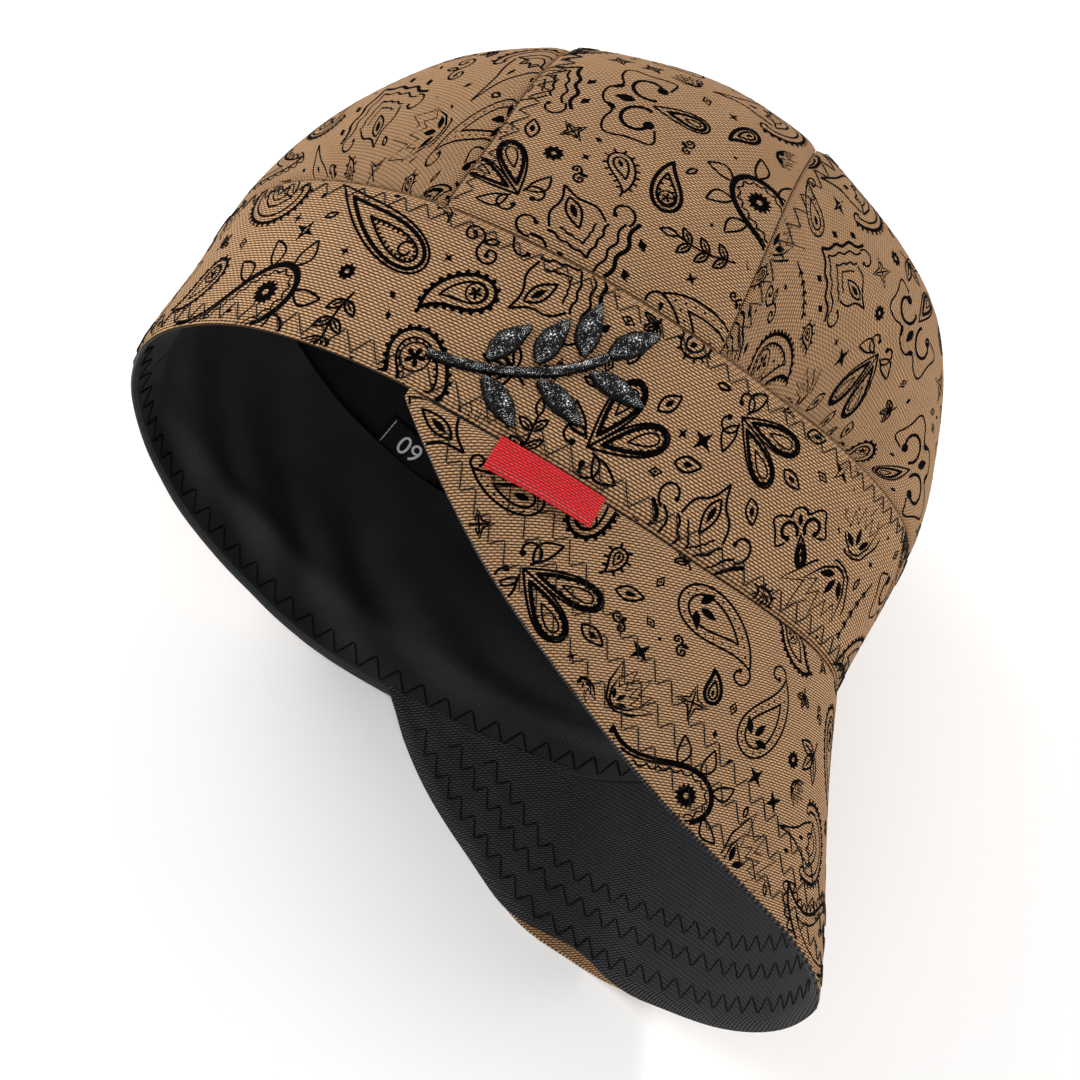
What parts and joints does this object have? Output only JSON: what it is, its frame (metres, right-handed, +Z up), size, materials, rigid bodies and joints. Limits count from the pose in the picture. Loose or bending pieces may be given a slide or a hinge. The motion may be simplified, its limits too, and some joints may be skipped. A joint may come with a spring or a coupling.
{
  "type": "welding cap",
  "caption": "Soft sewn welder's cap with a tall rounded crown, black lining and sweatband, and a long drooping peak, lying on its left side.",
  "frame": {"origin": "centre of the cap's box at floor level, with the cap lying on its left side", "axes": "+X towards the peak, +Y towards the top of the crown, +Z up from the floor, which is the wearer's right"},
  "size_m": [0.2474, 0.2264, 0.1767],
  "materials": {
    "printed_duck": "matte",
    "black_lining": "matte",
    "black_sweatband": "matte",
    "black_canvas": "matte",
    "red_ribbon": "satin",
    "black_label": "satin",
    "black_thread": "satin"
  },
  "bodies": {
    "root": {"crown_band": "printed_duck", "crown_back": "printed_duck", "crown_middle": "printed_duck", "crown_front": "printed_duck", "peak_top": "printed_duck", "lining": "black_lining", "sweatband": "black_sweatband", "peak_under": "black_canvas", "seam_tag": "red_ribbon", "size_label": "black_label", "motif_stem": "black_thread", "motif_leaf_1": "black_thread", "motif_leaf_2": "black_thread", "motif_leaf_3": "black_thread", "motif_leaf_4": "black_thread", "motif_leaf_5": "black_thread", "motif_leaf_6": "black_thread", "motif_leaf_7": "black_thread"}
  },
  "joints": []
}
